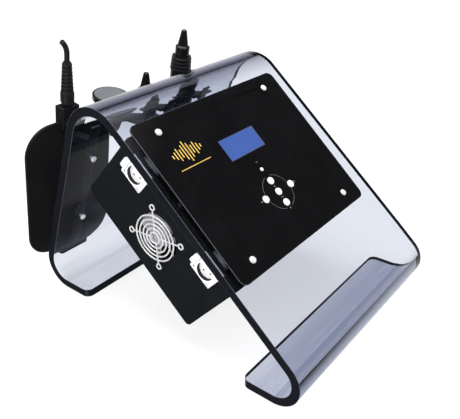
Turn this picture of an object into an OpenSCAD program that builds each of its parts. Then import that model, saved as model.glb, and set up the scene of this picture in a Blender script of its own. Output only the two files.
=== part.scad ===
// Bench-top ultrasound therapy unit.
// A bent acrylic stand carries a control box under its front slope
// and four applicator holders behind its back leg.
// Origin: middle of the floor face of the stand's front lip, on the control panel's centre line.
// +X to the right as the user sees it, +Y to the back, +Z up, millimetres.

/* [Stand] */
// Thickness of the acrylic sheet
sheet_t = 10; // [9:0.5:11]
// Height of the top bend above the bench
stand_h = 256.5; // [250:0.5:262]
// Angle of the front slope from the bench, degrees
slope_deg = 40.7; // [39.5:0.1:42]
// Lean of the back leg from upright, degrees
leg_deg = 20.4; // [19.5:0.1:21.5]
// Outside radius of the top bend
ridge_r = 44.7; // [42:0.1:47]
// Outside radius of the two floor bends
bend_r = 30.9; // [29:0.1:33]
// Flat length of the front lip
lip_flat = 38; // [34:1:42]
// Flat length of the back foot
foot_flat = 39.5; // [34:0.5:44]
// Sheet edge to the left of the panel's centre line
sheet_left = 137; // [134:1:145]
// Sheet edge to the right of the centre line, at the front
sheet_right = 152.5; // [146:0.5:160]
// Sheet edge to the right of the centre line, at the top bend
ridge_right = 144; // [138:1:150]
// Corner radius of the lip and the foot
lip_corner_r = 9; // [5:1:14]

/* [Front panel] */
// Width of the black front panel
panel_w = 250; // [246:1:258]
// Height of the panel along the slope
panel_h = 196.5; // [194:0.5:202]
// Thickness of the panel
panel_t = 1.5; // [1.2:0.1:2]
// Corner radius of the panel
panel_corner_r = 9; // [4:1:12]
// Distance from the front bend, along the slope, to the panel's middle
panel_up = 186.4; // [184:0.2:190]
// Half the spacing of the panel screws, across
screw_x = 94; // [92:0.5:96]
// Half the spacing of the panel screws, along the slope
screw_y = 81; // [79:0.5:82]
// Width of the display window
lcd_w = 61; // [50:1:66]
// Height of the display window
lcd_h = 26.5; // [20:0.5:30]
// Middle of the display above the panel's middle
lcd_up = 31; // [28:1:34]
// Middle of the button cross below the panel's middle
keys_down = 37.2; // [34:0.2:40]
// Button cross, middle to the left and right buttons
key_dx = 24.5; // [20:0.5:26]
// Button cross, middle to the up and down buttons
key_dy = 14.8; // [13:0.2:17]
// Button radius
key_r = 4.3; // [3.5:0.1:5]
// Button travel
key_travel = 1; // [0.4:0.1:1]

/* [Control box] */
// Half the outside width of the box
box_half_w = 126.6; // [125:0.2:128]
// Top wall of the box above the panel's middle, along the slope
box_up = 90.9; // [90:0.1:92]
// Bottom wall of the box below the panel's middle, along the slope
box_down = 97; // [95:0.5:99]
// Depth of the box's back wall behind the panel's plane
box_depth = 110; // [108:0.5:112]
// Wall thickness of the box
wall = 2; // [1.5:0.1:2.2]
// Outside radius of the box's back corners
box_corner_r = 6; // [4:0.5:8]

/* [Fan and sockets] */
// Fan frame size
fan_size = 60; // [60:1:60]
// Spacing of the fan's fixing holes
fan_pitch = 50; // [50:1:50]
// Fan centre below the panel's middle, along the slope
fan_down = 1.9; // [0:0.1:4]
// Fan centre behind the panel's plane
fan_deep = 62.4; // [60:0.2:64]
// Upper socket above the panel's middle, along the slope
socket_up = 59; // [58:0.5:60]
// Lower socket below the panel's middle, along the slope
socket_low = 62; // [61:0.5:63]
// Middle of both sockets behind the panel's plane
socket_deep = 27.5; // [26.5:0.5:29]

/* [Applicators] */
// Lean of the applicators from upright, degrees
rack_lean = 9.5; // [9:0.1:10]
// Distance across from the centre line to the plate applicator
plate_x = -98.5; // [-100:0.5:-96]
// Distance across to the disc applicator
disc_x = -11.5; // [-13:0.5:-10]
// Distance across to the small handpiece
small_x = 23; // [20:1:26]
// Distance across to the large handpiece
large_x = 89; // [86:1:92]
// Width of the plate applicator
plate_w = 120; // [110:1:124]
// Height of the plate applicator
plate_len = 180; // [170:1:182]
// Radius of the disc applicator's head
disc_r = 23; // [18:0.5:24]
// Radius of the large handpiece's body
large_r = 13.2; // [12:0.1:13.2]
// Radius of the small handpiece's body
small_r = 10; // [8:0.5:11]

/* [Hidden] */
$fn = 64;
clear = 0.05;
eps = 0.01;

// Side profile of the stand: circle centres of the three bends, as [y, z].
front_c = [-lip_flat / 2, bend_r];
slope_run = (stand_h - ridge_r - bend_r - (bend_r - ridge_r) * cos(slope_deg)) / sin(slope_deg);
ridge_c = [
  front_c[0] - (bend_r - ridge_r) * sin(slope_deg) + slope_run * cos(slope_deg),
  stand_h - ridge_r
];
leg_run = (ridge_c[1] + (ridge_r - bend_r) * sin(leg_deg) - bend_r) / cos(leg_deg);
back_c = [ridge_c[0] + (ridge_r - bend_r) * cos(leg_deg) + leg_run * sin(leg_deg), bend_r];

// The panel's middle, on the outside face of the slope.
panel_c = [
  front_c[0] - bend_r * sin(slope_deg) + panel_up * cos(slope_deg),
  front_c[1] + bend_r * cos(slope_deg) + panel_up * sin(slope_deg)
];

// Holes, shanks and screw heads
m4_hole = 2.2;
m4_shank = 1.9;
m3_hole = 1.7;
m3_shank = 1.5;
head_r = 4;
m3_head_r = 2.6;
holder_head_r = 3.6;
fan_head_r = 2.7;
key_hole = key_r + 0.15;
led_r = 2.2;
led_down = 6;
window_gap = 0.1;

// Depths along the panel's normal; 0 is the outside face of the sheet.
board_z = -13;
board_t = 1.6;
board_top = board_z + board_t;
switch_top = -8;
cutout_w = 96;
spacer_x = 43;
spacer_y = 55;
spacer_down = 5;
cutout_up = 56;
cutout_down = 66;
flange_w = 18;
back_in = -box_depth + wall + clear;

// Generator board: middle, half the spacing of its posts and its height above the back wall
gen_x = 40;
gen_y = -10;
post_dx = 64;
post_dy = 54;
post_h = 8;

// Box end plates and what they carry
fan_depth = 15;
hub_r = 12;
axle_r = 1.5;
blades = 7;
blade_pitch = 38;
blade_t = 1.4;
duct_r = 28;
guard_wire = 0.9;
eyelet_r = 3;
flange_len = 31;
socket_w = 26;
socket_flange_t = 2;
barrel_r = 11.6;
bore_r = 10.4;
barrel_len = 20;
tab_w = 14;
tab_over = 4.5;
tab_under = 1.5;
tab_t = 2.3;
tab_len = 7.8;
face_recess = 3;
corner_dz = 9.8;
corner_dy = 12;
inlet_y = 30;
inlet_z = -60;
rocker_y = -12;
fuse_y = -52;
rocker_w = 12;
rocker_h = 18;
rocker_tilt = 8;
fuse_r = 6.5;
inlet_screw = 20;
pin_places = [[-2.5, -7], [-2.5, 7], [3.5, 0]];
pin_w = 2;
pin_h = 4;

// Applicator rack: the applicators' common axis passes this point, at this height
rack_z = 230;
rack_y = 193 + panel_c[0];
disc_y = rack_y + 27;
disc_drop = 15;
disc_holder_z = 193.5;
disc_handle_r = 9;
disc_rim_h = 8;
disc_cone_h = 10;
disc_handle_len = 38;
leg_face_y = ridge_c[0] + ridge_r * cos(leg_deg);
leg_face_z = ridge_c[1] + ridge_r * sin(leg_deg);
holder_z = 200;
holder_w = 12;
holder_t = 3;
holder_top = 12;
holder_len = 148;
arm_t = 8;
shelf_t = 3;
gusset_t = 3;
gusset_len = 13;
holder_holes = [55, 149];
plate_t = 4;
plate_corner_r = 34;
plate_y = rack_y + 5;
block_size = [23.5, 14, 18];
cable_r = 3;
nose_len = 20.5;
collar_len = 15;
ring_len = 19;
large_tip = 54.7;
small_tip = 11.6;
large_len = 97;
small_len = 95;
head_rim_r = 14.5;

// Frames
module on_slope() {
  translate([0, panel_c[0], panel_c[1]])
    rotate([slope_deg, 0, 0])
      children();
}

module on_leg(x) {
  translate([x, leg_face_y, leg_face_z])
    rotate([leg_deg, 0, 0])
      children();
}

module on_rack(x, y = rack_y) {
  translate([x, y, rack_z])
    rotate([rack_lean, 0, 0])
      children();
}

// A 2D profile in [y, z] extruded from x0 to x1
module along_x(x0, x1) {
  translate([x0, 0, 0])
    rotate([90, 0, 90])
      linear_extrude(height = x1 - x0)
        children();
}

module rounded_rect(w, h, r) {
  square([w - 2 * r, h], center = true);
  square([w, h - 2 * r], center = true);
  for (x = [-1, 1], y = [-1, 1])
    translate([x * (w / 2 - r), y * (h / 2 - r)])
      circle(r = r);
}

module rounded_plate(w, h, r, t) {
  linear_extrude(height = t)
    rounded_rect(w, h, r);
}

module at_corners(dx, dy) {
  for (x = [-dx, dx], y = [-dy, dy])
    translate([x, y, 0])
      children();
}

module ring(r_out, r_in, h) {
  difference() {
    cylinder(r = r_out, h = h);
    translate([0, 0, -1])
      cylinder(r = r_in, h = h + 2);
  }
}

// Points along an arc, one every bend_step degrees
bend_step = 5;

function arc_points(c, r, a0, a1) =
  let (n = round(abs(a1 - a0) / bend_step))
  [for (i = [0 : n]) c + r * [cos(a0 + (a1 - a0) * i / n), sin(a0 + (a1 - a0) * i / n)]];

// The bent sheet seen from the side: along its outside face and back along its inside face
module stand_profile() {
  t = sheet_t;
  top = 90 + slope_deg;
  polygon(concat(
    [[lip_flat / 2, 0]],
    arc_points(front_c, bend_r, 270, top),
    arc_points(ridge_c, ridge_r, top, leg_deg),
    arc_points(back_c, bend_r, leg_deg, -90),
    [[back_c[0] - foot_flat, 0], [back_c[0] - foot_flat, t]],
    arc_points(back_c, bend_r - t, -90, leg_deg),
    arc_points(ridge_c, ridge_r - t, leg_deg, top),
    arc_points(front_c, bend_r - t, top, 270),
    [[lip_flat / 2, t]]
  ));
}

// Removes the square corner outside a rounded one; sx and sy point to the corner
module corner_cut(x, y, sx, sy, r) {
  over = r + 1;
  translate([x, y, -1])
    linear_extrude(height = sheet_t + 2)
      difference() {
        translate([min(0, sx * over), min(0, sy * over)])
          square([over, over]);
        circle(r = r);
      }
}

// Stand
module acrylic_stand() {
  lip_end = lip_flat / 2;
  foot_end = back_c[0] - foot_flat;
  r = lip_corner_r;
  color([0.78, 0.80, 0.85, 0.45])
    difference() {
      intersection() {
        along_x(-sheet_left, sheet_right)
          stand_profile();
        translate([0, 0, -1])
          linear_extrude(height = stand_h + 2)
            polygon([
              [-sheet_left - 1, -120],
              [sheet_right, -120],
              [sheet_right, front_c[1]],
              [ridge_right, ridge_c[0]],
              [ridge_right, 400],
              [-sheet_left - 1, 400]
            ]);
      }
      corner_cut(-sheet_left + r, lip_end - r, -1, 1, r);
      corner_cut(sheet_right - r, lip_end - r, 1, 1, r);
      corner_cut(-sheet_left + r, foot_end + r, -1, -1, r);
      corner_cut(ridge_right - r, foot_end + r, 1, -1, r);
      on_slope() {
        translate([-cutout_w / 2, -cutout_down, -sheet_t - 1])
          cube([cutout_w, cutout_down + cutout_up, sheet_t + 2]);
        at_corners(screw_x, screw_y)
          translate([0, 0, -sheet_t - 1])
            cylinder(r = m4_hole, h = sheet_t + 2);
      }
      for (x = [plate_x, disc_x, small_x, large_x], d = holder_holes)
        on_leg(x)
          translate([0, 1, -d])
            rotate([90, 0, 0])
              cylinder(r = m4_hole, h = sheet_t + 2);
    }
}

// Front panel and what it carries
function key_places() = [[0, key_dy], [0, -key_dy], [-key_dx, 0], [key_dx, 0], [0, 0]];

module front_panel() {
  color([0.05, 0.05, 0.06])
    on_slope()
      difference() {
        translate([0, 0, clear])
          rounded_plate(panel_w, panel_h, panel_corner_r, panel_t - clear);
        at_corners(screw_x, screw_y)
          translate([0, 0, -1])
            cylinder(r = m4_hole, h = panel_t + 2);
        translate([0, lcd_up, panel_t / 2])
          cube([lcd_w + 2 * window_gap, lcd_h + 2 * window_gap, panel_t + 2], center = true);
        for (p = key_places())
          translate([p[0], p[1] - keys_down, -1])
            cylinder(r = key_hole, h = panel_t + 2);
        translate([0, -led_down, -1])
          cylinder(r = led_r + 0.1, h = panel_t + 2);
      }
}

module dome_screw(head, shank, len) {
  translate([0, 0, -len])
    cylinder(r = shank, h = len + eps);
  cylinder(r = head, h = 0.8);
  translate([0, 0, 0.8])
    intersection() {
      translate([0, 0, -head * 1.1])
        sphere(r = head * 1.487);
      cylinder(r = head, h = head);
    }
}

module panel_screws() {
  color([0.9, 0.9, 0.92])
    on_slope()
      at_corners(screw_x, screw_y)
        translate([0, 0, panel_t])
          dome_screw(head_r, m4_shank, panel_t + sheet_t + wall + 4);
}

module lcd_window() {
  color([0.28, 0.38, 0.69])
    on_slope()
      translate([-lcd_w / 2, lcd_up - lcd_h / 2, 0])
        cube([lcd_w, lcd_h, panel_t - 0.1]);
}

module lcd_module() {
  color([0.2, 0.25, 0.3])
    on_slope() {
      translate([-lcd_w / 2 - 5, lcd_up - lcd_h / 2 - 5, -6])
        cube([lcd_w + 10, lcd_h + 10, 5.9]);
      translate([-lcd_w / 2 - 8, lcd_up - lcd_h / 2 - 8, -7.6])
        cube([lcd_w + 16, lcd_h + 16, 1.6]);
      translate([-lcd_w / 2, lcd_up + lcd_h / 2 + 2, board_top])
        cube([lcd_w, 2.5, -7.6 - board_top]);
    }
}

module display_board() {
  color([0.1, 0.35, 0.2])
    on_slope()
      difference() {
        translate([-50, -72, board_z])
          cube([100, 134, board_t]);
        translate([0, -spacer_down, 0])
          at_corners(spacer_x, spacer_y)
            translate([0, 0, board_z - 1])
              cylinder(r = m3_shank, h = 4);
      }
}

module board_spacers() {
  color([0.9, 0.9, 0.85])
    on_slope()
      translate([0, -spacer_down, 0])
        at_corners(spacer_x, spacer_y) {
          translate([0, 0, board_top])
            cylinder(r = 3.4, h = -board_top, $fn = 6);
          translate([0, 0, board_z - 0.5])
            cylinder(r = m3_shank - clear, h = board_t + 1);
          translate([0, 0, board_z - 2.5])
            cylinder(r = 2.8, h = 2.5);
        }
}

module tact_switches() {
  color([0.12, 0.12, 0.13])
    on_slope()
      for (p = key_places())
        translate([p[0] - 3, p[1] - keys_down - 3, board_top])
          cube([6, 6, switch_top - board_top]);
}

module led_indicator() {
  color([0.95, 0.95, 0.9])
    on_slope()
      translate([0, -led_down, 0]) {
        translate([0, 0, -4])
          cylinder(r = led_r, h = 4 + panel_t);
        translate([0, 0, panel_t])
          intersection() {
            translate([0, 0, -1])
              sphere(r = 2.417);
            cylinder(r = led_r, h = 3);
          }
        for (x = [-1.27, 1.27])
          translate([x, 0, board_top])
            cylinder(r = 0.3, h = -4 - board_top + eps);
      }
}

module button(p) {
  color([0.93, 0.93, 0.9])
    on_slope()
      translate([p[0], p[1] - keys_down, 0]) {
        translate([0, 0, switch_top + key_travel + 0.1])
          cylinder(r = 2, h = -switch_top - key_travel);
        translate([0, 0, -3])
          cylinder(r = key_r, h = 3 + panel_t + 0.8);
        translate([0, 0, panel_t + 0.8])
          intersection() {
            translate([0, 0, -key_r])
              sphere(r = key_r * 1.4142);
            cylinder(r = key_r, h = 3);
          }
      }
}

// Control box: a U-shaped body with two end plates
module box_outline(r, inset) {
  up = box_up - inset;
  low = -box_down + inset;
  back = -box_depth + inset;
  translate([low, back + r])
    square([up - low, -sheet_t - clear - back - r]);
  translate([low + r, back])
    square([up - low - 2 * r, r + eps]);
  for (y = [low + r, up - r])
    translate([y, back + r])
      circle(r = r);
}

module box_body() {
  inner_r = box_corner_r - wall;
  w = box_half_w - wall;
  color([0.07, 0.07, 0.08])
    on_slope() {
      difference() {
        along_x(-w, w)
          difference() {
            box_outline(box_corner_r, 0);
            translate([0, eps])
              box_outline(inner_r, wall);
          }
        for (x = [-5 : 5])
          translate([x * 14, 0, -box_depth - 1])
            linear_extrude(height = wall + 2)
              rounded_rect(5, 60, 2.4);
      }
      difference() {
        for (y = [box_up - flange_w, -box_down])
          translate([-w, y, -sheet_t - wall - clear])
            cube([2 * w, flange_w, wall]);
        at_corners(screw_x, screw_y)
          translate([0, 0, -sheet_t - wall - 1])
            cylinder(r = m4_hole, h = wall + 2);
      }
    }
}

module end_plate() {
  along_x(0, wall)
    box_outline(box_corner_r, 0);
}

// Holes of a socket in the left end plate; +Z is out of the plate
module socket_holes() {
  translate([0, 0, -wall - 1]) {
    cylinder(r = barrel_r + 0.2, h = wall + 2);
    translate([0, flange_len / 2 + 1.6, 0])
      cylinder(r = m3_hole, h = wall + 2);
    for (z = [-corner_dz, corner_dz])
      translate([z, -corner_dy, 0])
        cylinder(r = m3_hole, h = wall + 2);
  }
}

// Frame on the outside of the left end plate: x runs away from the panel, y up the slope, z outwards
module on_left_end(y, z) {
  on_slope()
    translate([-box_half_w, y, z])
      rotate([0, -90, 0])
        children();
}

module box_end_left() {
  color([0.08, 0.08, 0.09])
    difference() {
      on_slope()
        translate([-box_half_w, 0, 0])
          end_plate();
      on_left_end(-fan_down, -fan_deep)
        translate([0, 0, -wall - 1]) {
          cylinder(r = duct_r, h = wall + 2);
          at_corners(fan_pitch / 2, fan_pitch / 2)
            cylinder(r = m4_hole, h = wall + 2);
        }
      on_left_end(socket_up, -socket_deep)
        socket_holes();
      on_left_end(-socket_low, -socket_deep)
        socket_holes();
    }
}

module on_right_end(y, z) {
  on_slope()
    translate([box_half_w, y, z])
      rotate([0, 90, 0])
        children();
}

module box_end_right() {
  color([0.08, 0.08, 0.09])
    difference() {
      on_slope()
        translate([box_half_w - wall, 0, 0])
          end_plate();
      on_right_end(inlet_y, inlet_z) {
        translate([0, 0, -wall / 2])
          cube([20.4, 28.4, wall + 2], center = true);
        for (y = [-inlet_screw, inlet_screw])
          translate([0, y, -wall - 1])
            cylinder(r = m3_hole, h = wall + 2);
      }
      on_right_end(rocker_y, inlet_z)
        translate([0, 0, -wall / 2])
          cube([rocker_w + 3.4, rocker_h + 3.4, wall + 2], center = true);
      on_right_end(fuse_y, inlet_z)
        translate([0, 0, -wall - 1])
          cylinder(r = fuse_r + 0.2, h = wall + 2);
    }
}

module clinch_nuts() {
  color([0.75, 0.76, 0.78])
    on_slope()
      at_corners(screw_x, screw_y)
        translate([0, 0, -sheet_t - wall - 4 - 2 * clear])
          difference() {
            cylinder(r = 4, h = 4, $fn = 6);
            translate([0, 0, -1])
              cylinder(r = m4_shank + clear, h = 6);
          }
}

// Fan
module fan_guard() {
  lift = guard_wire + 1.3;
  reach = fan_pitch / 2 * sqrt(2) - eyelet_r;
  color([0.85, 0.86, 0.88])
    on_left_end(-fan_down, -fan_deep) {
      for (r = [6.5 : 5 : 26.5])
        translate([0, 0, lift])
          rotate_extrude()
            translate([r, 0])
              circle(r = guard_wire);
      for (a = [45 : 90 : 315])
        rotate([0, 0, a]) {
          translate([5, 0, guard_wire])
            rotate([0, 90, 0])
              cylinder(r = guard_wire, h = reach - 5);
          translate([reach + eyelet_r, 0, guard_wire])
            rotate_extrude()
              translate([eyelet_r, 0])
                circle(r = guard_wire);
        }
    }
}

module fan_frame() {
  color([0.12, 0.12, 0.13])
    on_left_end(-fan_down, -fan_deep)
      translate([0, 0, -wall - fan_depth]) {
        linear_extrude(height = fan_depth)
          difference() {
            rounded_rect(fan_size, fan_size, 4);
            circle(r = duct_r);
            at_corners(fan_pitch / 2, fan_pitch / 2)
              circle(r = m4_hole);
          }
        difference() {
          union() {
            cylinder(r = hub_r, h = 2);
            for (a = [33, 123, 213, 303])
              rotate([0, 0, a])
                translate([hub_r - 2, -2, 0])
                  cube([duct_r - 9.2, 4, 2]);
            cylinder(r = 4, h = 6);
          }
          translate([0, 0, -1])
            cylinder(r = axle_r + clear, h = 9);
        }
      }
}

module fan_rotor() {
  blade_r = duct_r - 0.8;
  color([0.86, 0.87, 0.88])
    on_left_end(-fan_down, -fan_deep)
      translate([0, 0, -wall - fan_depth]) {
        difference() {
          translate([0, 0, 2.5])
            cylinder(r = hub_r, h = 11.5);
          translate([0, 0, 1])
            cylinder(r = hub_r - 1.5, h = 11);
        }
        translate([0, 0, 0.5])
          cylinder(r = axle_r, h = 12);
        intersection() {
          for (i = [0 : blades - 1])
            rotate([0, 0, i * 360 / blades])
              translate([hub_r - 0.5, 0, 8.2])
                rotate([blade_pitch, 0, 0])
                  translate([0, -8, -blade_t / 2])
                    cube([blade_r, 16, blade_t]);
          translate([0, 0, 2.8])
            cylinder(r = blade_r, h = 11);
        }
      }
}

module fan_screws() {
  color([0.15, 0.15, 0.16])
    on_left_end(-fan_down, -fan_deep)
      at_corners(fan_pitch / 2, fan_pitch / 2)
        translate([0, 0, 2 * guard_wire + clear])
          dome_screw(fan_head_r, m4_shank, fan_depth + wall + 2 * guard_wire);
}

// Signal sockets, with the flange lying on the end plate
module socket_shell(y) {
  color([0.9, 0.9, 0.92])
    on_left_end(y, -socket_deep)
      difference() {
        union() {
          rounded_plate(socket_w, flange_len, 1.2, socket_flange_t);
          translate([0, 0, -barrel_len])
            cylinder(r = barrel_r, h = barrel_len + socket_flange_t + 0.8);
        }
        translate([0, 0, -barrel_len - 1])
          cylinder(r = bore_r, h = barrel_len + 6);
        for (x = [-corner_dz, corner_dz], y = [-corner_dy, corner_dy])
          translate([x, y, -1])
            cylinder(r = m3_hole, h = socket_flange_t + 2);
        translate([-tab_w / 2 - 0.3, barrel_r + 0.4, -1])
          cube([tab_w + 0.6, 10, 6]);
      }
}

module socket_insert(y) {
  color([0.8, 0.8, 0.82])
    on_left_end(y, -socket_deep)
      difference() {
        translate([0, 0, -barrel_len])
          cylinder(r = bore_r - clear, h = barrel_len - face_recess);
        for (a = [30, 150, 270])
          rotate([0, 0, a])
            translate([5, 0, -14])
              cylinder(r = 1.4, h = 13);
        translate([0, 0, -face_recess - 5])
          ring(9, 8, 7);
      }
}

module socket_latch(y) {
  color([0.88, 0.88, 0.9])
    on_left_end(y, -socket_deep) {
      translate([0, flange_len / 2 + tab_over - tab_len / 2, tab_under])
        rounded_plate(tab_w, tab_len, 2, tab_t);
      translate([0, flange_len / 2 + 1.6, -8])
        cylinder(r = 1.4, h = 8 + tab_under + eps);
    }
}

module m3_screws() {
  color([0.85, 0.86, 0.88]) {
    for (y = [socket_up, -socket_low])
      on_left_end(y, -socket_deep)
        for (x = [-corner_dz, corner_dz])
          translate([x, -corner_dy, socket_flange_t])
            dome_screw(m3_head_r, m3_shank, 8);
    on_right_end(inlet_y, inlet_z)
      for (y = [-inlet_screw, inlet_screw])
        translate([0, y, 2])
          dome_screw(m3_head_r, m3_shank, 8);
  }
}

// Electronics on the back wall
module generator_board() {
  color([0.08, 0.3, 0.16])
    on_slope()
      difference() {
        translate([gen_x - post_dx - 2, gen_y - post_dy - 6, back_in + post_h])
          cube([2 * post_dx + 8, 2 * post_dy + 12, board_t]);
        translate([gen_x, gen_y, back_in])
          at_corners(post_dx, post_dy)
            cylinder(r = m3_shank + clear, h = 12);
      }
}

module board_parts() {
  top = back_in + post_h + board_t;
  color([0.15, 0.15, 0.17])
    on_slope() {
      for (i = [0 : 3])
        translate([-10 + 22 * i, 26, top])
          cylinder(r = 6, h = 20);
      for (p = [[0, -20], [34, -22], [70, -18], [10, -50], [52, -52]])
        translate([p[0], p[1], top])
          cube([20, 14, 3]);
      translate([84, -62, top])
        cube([12, 40, 10]);
    }
}

module board_posts() {
  color([0.8, 0.78, 0.6])
    on_slope()
      translate([gen_x, gen_y, back_in])
        at_corners(post_dx, post_dy) {
          cylinder(r = 3.2, h = post_h, $fn = 6);
          cylinder(r = m3_shank, h = post_h + board_t + 1);
          translate([0, 0, post_h + board_t])
            cylinder(r = 2.8, h = 2);
        }
}

module transformer_core() {
  color([0.3, 0.31, 0.33])
    on_slope()
      translate([-72, -48, back_in])
        difference() {
          cube([38, 52, 44]);
          translate([-1, 8, 10])
            cube([46, 9, 24]);
          translate([-1, 35, 10])
            cube([46, 9, 24]);
        }
}

module transformer_coil() {
  color([0.7, 0.35, 0.15])
    on_slope()
      translate([-78, -39.9, back_in + 10.1])
        difference() {
          cube([50, 34.8, 23.8]);
          translate([5.9, 8.8, -1])
            cube([38.2, 18.2, 26]);
        }
}

module heat_sink() {
  color([0.72, 0.73, 0.75])
    on_slope()
      translate([-84, 20, back_in]) {
        cube([48, 60, 4]);
        for (i = [0 : 8])
          translate([0.5 + 5.6 * i, 0, 4 - eps])
            cube([2, 60, 26]);
      }
}

// Mains inlet, switch and fuse on the right end plate
module inlet_body() {
  color([0.1, 0.1, 0.11])
    on_right_end(inlet_y, inlet_z)
      difference() {
        union() {
          rounded_plate(24, 50, 4, 2);
          translate([-10, -14, -26])
            cube([20, 28, 27]);
        }
        translate([-8, -12, -18])
          cube([16, 24, 21]);
        for (p = pin_places)
          translate([p[0] - pin_w / 2 - clear, p[1] - pin_h / 2 - clear, -27])
            cube([pin_w + 2 * clear, pin_h + 2 * clear, 10]);
        for (y = [-inlet_screw, inlet_screw])
          translate([0, y, -1])
            cylinder(r = m3_hole, h = 4);
      }
}

module inlet_pins() {
  color([0.85, 0.8, 0.55])
    on_right_end(inlet_y, inlet_z)
      for (p = pin_places)
        translate([p[0] - pin_w / 2, p[1] - pin_h / 2, -30])
          cube([pin_w, pin_h, 24]);
}

module switch_body() {
  color([0.1, 0.1, 0.11])
    on_right_end(rocker_y, inlet_z)
      difference() {
        union() {
          rounded_plate(rocker_w + 7, rocker_h + 7, 2, 2);
          translate([-rocker_w / 2 - 1.5, -rocker_h / 2 - 1.5, -18])
            cube([rocker_w + 3, rocker_h + 3, 19]);
        }
        translate([-rocker_w / 2 - 0.2, -rocker_h / 2 - 0.6, -9])
          cube([rocker_w + 0.4, rocker_h + 1.2, 14]);
        translate([-rocker_w / 2 - 1, 0, -1.5])
          rotate([0, 90, 0])
            cylinder(r = 1 + clear, h = rocker_w + 2);
      }
}

module switch_rocker() {
  color([0.75, 0.12, 0.1])
    on_right_end(rocker_y, inlet_z)
      translate([0, 0, -1.5])
        rotate([-rocker_tilt, 0, 0]) {
          rotate([90, 0, 90])
            translate([0, 0, -rocker_w / 2])
              linear_extrude(height = rocker_w)
                polygon([
                  [-rocker_h / 2 + 0.6, 0.5],
                  [-rocker_h / 2 + 0.6, 4.6],
                  [0, 3.4],
                  [rocker_h / 2 - 0.6, 4.6],
                  [rocker_h / 2 - 0.6, 0.5],
                  [2, -3],
                  [-2, -3]
                ]);
          translate([-rocker_w / 2 - 0.8, 0, 0])
            rotate([0, 90, 0])
              cylinder(r = 1, h = rocker_w + 1.6);
        }
}

module fuse_holder() {
  color([0.12, 0.12, 0.13])
    on_right_end(fuse_y, inlet_z)
      difference() {
        union() {
          cylinder(r = fuse_r + 2, h = 2);
          translate([0, 0, -28])
            cylinder(r = fuse_r, h = 28 + eps);
        }
        translate([0, 0, -24])
          cylinder(r = 4.2, h = 30);
      }
}

module fuse_cap() {
  color([0.16, 0.16, 0.17])
    on_right_end(fuse_y, inlet_z)
      difference() {
        union() {
          translate([0, 0, -16])
            cylinder(r = 4.2 - clear, h = 18.1);
          translate([0, 0, 2.1])
            cylinder(r = 6, h = 5);
        }
        translate([-7, -0.8, 5.1])
          cube([14, 1.6, 3]);
      }
}

// Holders on the back of the leg

// Outside face of the leg at a height
function face_at(z) = leg_face_y + (leg_face_z - z) * tan(leg_deg);

module holder_bar(x, top = holder_top, len = holder_len) {
  on_leg(x)
    difference() {
      translate([-holder_w / 2, clear, -len - top])
        cube([holder_w, holder_t, len]);
      for (d = holder_holes)
        translate([0, holder_t + 1, -d])
          rotate([90, 0, 0])
            cylinder(r = m4_shank + clear, h = holder_t + 2);
    }
}

// Shelf with a hole for an applicator; an open one lets the applicator out backwards
module holder_shelf(x, y, z, r, edge, open) {
  w = r + edge;
  front = face_at(z) + 1;
  axis_y = y + (rack_z - z) * tan(rack_lean);
  holder_bar(x);
  along_x(x - gusset_t / 2, x + gusset_t / 2)
    polygon([
      [front, z + eps],
      [front + gusset_len, z + eps],
      [face_at(z - gusset_len) + 1, z - gusset_len]
    ]);
  difference() {
    union() {
      translate([x, axis_y, z])
        cylinder(r = w, h = shelf_t);
      translate([x - w, front, z])
        cube([2 * w, axis_y - front, shelf_t]);
    }
    on_rack(x, y)
      translate([0, 0, z - rack_z - r]) {
        cylinder(r = r, h = 3 * r);
        if (open)
          translate([-r, 0, 0])
            cube([2 * r, 3 * r, 3 * r]);
      }
  }
}

module holder_disc() {
  color([0.1, 0.1, 0.12])
    holder_shelf(disc_x, disc_y, disc_holder_z, disc_handle_r + 0.2, 9.8, false);
}

module holder_small() {
  color([0.1, 0.1, 0.12])
    holder_shelf(small_x, rack_y, holder_z, small_r + 0.1, 5, false);
}

module holder_large() {
  color([0.1, 0.1, 0.12])
    holder_shelf(large_x, rack_y, holder_z, large_r + 0.1, 5, true);
}

// Holder of the plate applicator: a channel under the plate and a rest near its top
module holder_plate() {
  low = plate_top - plate_len - 4 - clear;
  rest_y = plate_y + (rack_z - holder_z) * tan(rack_lean);
  rest_from = face_at(holder_z - arm_t) + 1;
  color([0.1, 0.1, 0.12]) {
    holder_bar(plate_x, holder_top, 188);
    difference() {
      translate([plate_x - holder_w / 2, rest_from, holder_z - arm_t])
        cube([holder_w, rest_y - rest_from + arm_t, arm_t]);
      on_rack(plate_x, plate_y)
        translate([-60, -plate_t / 2 - 0.1, -250])
          cube([120, 60, 300]);
    }
    on_rack(plate_x, plate_y)
      difference() {
        translate([-20, -plate_t / 2 - 5, low])
          cube([40, plate_t + 9.5, 12]);
        translate([-21, -plate_t / 2 - 0.1, low + 4])
          cube([42, plate_t + 1.2, 20]);
      }
  }
}

module holder_screws() {
  color([0.88, 0.89, 0.9])
    for (x = [plate_x, disc_x, small_x, large_x], d = holder_holes)
      on_leg(x)
        translate([0, -sheet_t, -d])
          rotate([90, 0, 0])
            dome_screw(holder_head_r, m4_shank, sheet_t + holder_t);
}

// Plate applicator with its plug
plate_top = -18;

module plate_shell() {
  color([0.06, 0.06, 0.07])
    on_rack(plate_x, plate_y)
      translate([0, plate_t / 2, plate_top - plate_len / 2])
        rotate([90, 0, 0])
          rounded_plate(plate_w, plate_len, plate_corner_r, plate_t);
}

module plate_contact() {
  color([0.75, 0.76, 0.78])
    on_rack(plate_x, plate_y)
      translate([0, plate_t / 2 + 0.8 + clear, plate_top - plate_len / 2])
        rotate([90, 0, 0])
          rounded_plate(plate_w - 16, plate_len - 16, plate_corner_r - 8, 0.8);
}

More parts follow.
